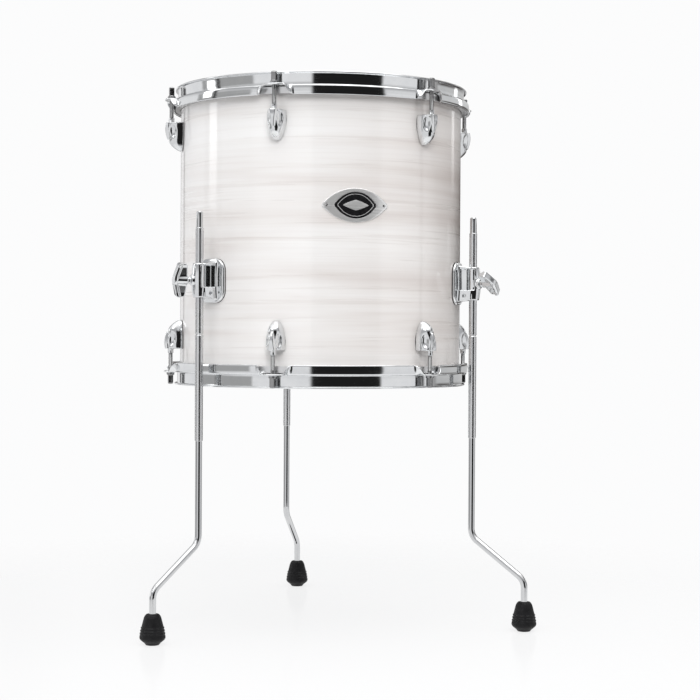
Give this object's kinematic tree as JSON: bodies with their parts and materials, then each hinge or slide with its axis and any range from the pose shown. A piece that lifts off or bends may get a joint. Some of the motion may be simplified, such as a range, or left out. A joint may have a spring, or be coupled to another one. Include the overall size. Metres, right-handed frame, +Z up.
{
  "type": "floor tom drum",
  "caption": "Wrapped wooden floor tom with pressed steel hoops, bullet lugs and tension rods, standing on bent height-adjustable legs clamped by wing bolts.",
  "frame": {"origin": "on the floor under the middle of the whole object's box; the drum's axis is upright and about 44 mm towards -Y from it", "axes": "+Z up along the shell's axis, -Y towards the badge and the two front legs"},
  "size_m": [0.4852, 0.467, 0.6693],
  "materials": {
    "wood": "open grain plies, sealed",
    "wrap": "glossy covering with soft horizontal streaks",
    "chrome": "bright chrome plate",
    "zinc_steel": "zinc plated",
    "badge_metal": "polished plate",
    "badge_black": "gloss enamel",
    "gasket": "matte black",
    "batter_film": "thin coated polyester",
    "clear_film": "thin clear polyester",
    "aluminium": "rolled channel",
    "nylon": "moulded nylon",
    "rubber": "matte black rubber"
  },
  "bodies": {
    "root": {"shell_plies": "wood", "shell_wrap": "wrap", "vent_grommet": "chrome", "badge_plate": "badge_metal", "badge_pins": "badge_metal", "badge_inlay": "badge_black", "top_lugs": "chrome", "bottom_lugs": "chrome", "top_lug_nuts": "zinc_steel", "bottom_lug_nuts": "zinc_steel", "lug_screws": "zinc_steel", "lug_washers": "zinc_steel", "bracket_screws": "zinc_steel", "bracket_washers": "zinc_steel", "lug_gaskets": "gasket", "bracket_gaskets": "gasket", "batter_film": "batter_film", "bottom_film": "clear_film", "batter_flesh_hoop": "aluminium", "bottom_flesh_hoop": "aluminium", "bracket_left": "chrome", "bracket_right": "chrome", "bracket_rear": "chrome"},
    "top_hoop": {"top_hoop": "chrome", "top_rod_washers": "chrome"},
    "bottom_hoop": {"bottom_hoop": "chrome", "bottom_rod_washers": "chrome"},
    "top_rod_1": {"top_rod_1": "chrome"},
    "bottom_rod_1": {"bottom_rod_1": "chrome"},
    "top_rod_2": {"top_rod_2": "chrome"},
    "bottom_rod_2": {"bottom_rod_2": "chrome"},
    "top_rod_3": {"top_rod_3": "chrome"},
    "bottom_rod_3": {"bottom_rod_3": "chrome"},
    "top_rod_4": {"top_rod_4": "chrome"},
    "bottom_rod_4": {"bottom_rod_4": "chrome"},
    "top_rod_5": {"top_rod_5": "chrome"},
    "bottom_rod_5": {"bottom_rod_5": "chrome"},
    "top_rod_6": {"top_rod_6": "chrome"},
    "bottom_rod_6": {"bottom_rod_6": "chrome"},
    "leg_bushes_left": {"leg_bushes_left": "nylon"},
    "leg_left": {"leg_rod_left": "chrome", "foot_left": "rubber"},
    "clamp_pad_left": {"clamp_pad_left": "zinc_steel"},
    "wing_bolt_left": {"wing_bolt_left": "chrome"},
    "leg_bushes_right": {"leg_bushes_right": "nylon"},
    "leg_right": {"leg_rod_right": "chrome", "foot_right": "rubber"},
    "clamp_pad_right": {"clamp_pad_right": "zinc_steel"},
    "wing_bolt_right": {"wing_bolt_right": "chrome"},
    "leg_bushes_rear": {"leg_bushes_rear": "nylon"},
    "leg_rear": {"leg_rod_rear": "chrome", "foot_rear": "rubber"},
    "clamp_pad_rear": {"clamp_pad_rear": "zinc_steel"},
    "wing_bolt_rear": {"wing_bolt_rear": "chrome"}
  },
  "joints": [
    {"name": "top_hoop_slide", "type": "slide", "parent": "root", "child": "top_hoop", "axis": [0, 0, 1], "range_m": [0, 0.00317]},
    {"name": "top_rod_1_turn", "type": "hinge", "parent": "top_hoop", "child": "top_rod_1", "pos_m": [-0.09175, -0.21018, 0.6538], "axis": [0, 0, 1], "range_deg": [0, 1080]},
    {"name": "top_rod_2_turn", "type": "hinge", "parent": "top_hoop", "child": "top_rod_2", "pos_m": [0.09965, -0.21018, 0.6538], "axis": [0, 0, 1], "range_deg": [0, 1080]},
    {"name": "top_rod_3_turn", "type": "hinge", "parent": "top_hoop", "child": "top_rod_3", "pos_m": [0.19535, -0.04443, 0.6538], "axis": [0, 0, 1], "range_deg": [0, 1080]},
    {"name": "top_rod_4_turn", "type": "hinge", "parent": "top_hoop", "child": "top_rod_4", "pos_m": [0.09965, 0.12133, 0.6538], "axis": [0, 0, 1], "range_deg": [0, 1080]},
    {"name": "top_rod_5_turn", "type": "hinge", "parent": "top_hoop", "child": "top_rod_5", "pos_m": [-0.09175, 0.12133, 0.6538], "axis": [0, 0, 1], "range_deg": [0, 1080]},
    {"name": "top_rod_6_turn", "type": "hinge", "parent": "top_hoop", "child": "top_rod_6", "pos_m": [-0.18745, -0.04443, 0.6538], "axis": [0, 0, 1], "range_deg": [0, 1080]},
    {"name": "bottom_hoop_slide", "type": "slide", "parent": "root", "child": "bottom_hoop", "axis": [0, 0, -1], "range_m": [0, 0.00317]},
    {"name": "bottom_rod_1_turn", "type": "hinge", "parent": "bottom_hoop", "child": "bottom_rod_1", "pos_m": [-0.09175, -0.21018, 0.3138], "axis": [0, 0, -1], "range_deg": [0, 1080]},
    {"name": "bottom_rod_2_turn", "type": "hinge", "parent": "bottom_hoop", "child": "bottom_rod_2", "pos_m": [0.09965, -0.21018, 0.3138], "axis": [0, 0, -1], "range_deg": [0, 1080]},
    {"name": "bottom_rod_3_turn", "type": "hinge", "parent": "bottom_hoop", "child": "bottom_rod_3", "pos_m": [0.19535, -0.04443, 0.3138], "axis": [0, 0, -1], "range_deg": [0, 1080]},
    {"name": "bottom_rod_4_turn", "type": "hinge", "parent": "bottom_hoop", "child": "bottom_rod_4", "pos_m": [0.09965, 0.12133, 0.3138], "axis": [0, 0, -1], "range_deg": [0, 1080]},
    {"name": "bottom_rod_5_turn", "type": "hinge", "parent": "bottom_hoop", "child": "bottom_rod_5", "pos_m": [-0.09175, 0.12133, 0.3138], "axis": [0, 0, -1], "range_deg": [0, 1080]},
    {"name": "bottom_rod_6_turn", "type": "hinge", "parent": "bottom_hoop", "child": "bottom_rod_6", "pos_m": [-0.18745, -0.04443, 0.3138], "axis": [0, 0, -1], "range_deg": [0, 1080]},
    {"name": "leg_left_swivel", "type": "hinge", "parent": "root", "child": "leg_bushes_left", "pos_m": [-0.16761, -0.14348, 0.4257], "axis": [0, 0, 1], "continuous": true},
    {"name": "leg_left_height", "type": "slide", "parent": "leg_bushes_left", "child": "leg_left", "axis": [0, 0, 1], "range_m": [-0.055, 0.165]},
    {"name": "clamp_left_travel", "type": "slide", "parent": "root", "child": "clamp_pad_left", "axis": [-0.9848, -0.1736, 0], "range_m": [0, 0.00151]},
    {"name": "wing_bolt_left_turn", "type": "hinge", "parent": "clamp_pad_left", "child": "wing_bolt_left", "pos_m": [-0.16761, -0.14348, 0.4257], "axis": [-0.9848, -0.1736, 0], "range_deg": [0, 540]},
    {"name": "leg_right_swivel", "type": "hinge", "parent": "root", "child": "leg_bushes_right", "pos_m": [0.17551, -0.14348, 0.4257], "axis": [0, 0, 1], "continuous": true},
    {"name": "leg_right_height", "type": "slide", "parent": "leg_bushes_right", "child": "leg_right", "axis": [0, 0, 1], "range_m": [-0.055, 0.165]},
    {"name": "clamp_right_travel", "type": "slide", "parent": "root", "child": "clamp_pad_right", "axis": [0.6428, -0.766, 0], "range_m": [0, 0.00151]},
    {"name": "wing_bolt_right_turn", "type": "hinge", "parent": "clamp_pad_right", "child": "wing_bolt_right", "pos_m": [0.17551, -0.14348, 0.4257], "axis": [0.6428, -0.766, 0], "range_deg": [0, 540]},
    {"name": "leg_rear_swivel", "type": "hinge", "parent": "root", "child": "leg_bushes_rear", "pos_m": [0.00395, 0.15367, 0.4257], "axis": [0, 0, 1], "continuous": true},
    {"name": "leg_rear_height", "type": "slide", "parent": "leg_bushes_rear", "child": "leg_rear", "axis": [0, 0, 1], "range_m": [-0.055, 0.165]},
    {"name": "clamp_rear_travel", "type": "slide", "parent": "root", "child": "clamp_pad_rear", "axis": [0.342, 0.9397, 0], "range_m": [0, 0.00151]},
    {"name": "wing_bolt_rear_turn", "type": "hinge", "parent": "clamp_pad_rear", "child": "wing_bolt_rear", "pos_m": [0.00395, 0.15367, 0.4257], "axis": [0.342, 0.9397, 0], "range_deg": [0, 540]}
  ],
  "couplings": [
    {"joint": "top_rod_1_turn", "follows": "top_hoop_slide", "rad_per_m": 5938.7},
    {"joint": "top_rod_2_turn", "follows": "top_hoop_slide", "rad_per_m": 5938.7},
    {"joint": "top_rod_3_turn", "follows": "top_hoop_slide", "rad_per_m": 5938.7},
    {"joint": "top_rod_4_turn", "follows": "top_hoop_slide", "rad_per_m": 5938.7},
    {"joint": "top_rod_5_turn", "follows": "top_hoop_slide", "rad_per_m": 5938.7},
    {"joint": "top_rod_6_turn", "follows": "top_hoop_slide", "rad_per_m": 5938.7},
    {"joint": "bottom_rod_1_turn", "follows": "bottom_hoop_slide", "rad_per_m": 5938.7},
    {"joint": "bottom_rod_2_turn", "follows": "bottom_hoop_slide", "rad_per_m": 5938.7},
    {"joint": "bottom_rod_3_turn", "follows": "bottom_hoop_slide", "rad_per_m": 5938.7},
    {"joint": "bottom_rod_4_turn", "follows": "bottom_hoop_slide", "rad_per_m": 5938.7},
    {"joint": "bottom_rod_5_turn", "follows": "bottom_hoop_slide", "rad_per_m": 5938.7},
    {"joint": "bottom_rod_6_turn", "follows": "bottom_hoop_slide", "rad_per_m": 5938.7},
    {"joint": "clamp_left_travel", "follows": "wing_bolt_left_turn", "m_per_rad": 0.00015915},
    {"joint": "clamp_right_travel", "follows": "wing_bolt_right_turn", "m_per_rad": 0.00015915},
    {"joint": "clamp_rear_travel", "follows": "wing_bolt_rear_turn", "m_per_rad": 0.00015915}
  ]
}
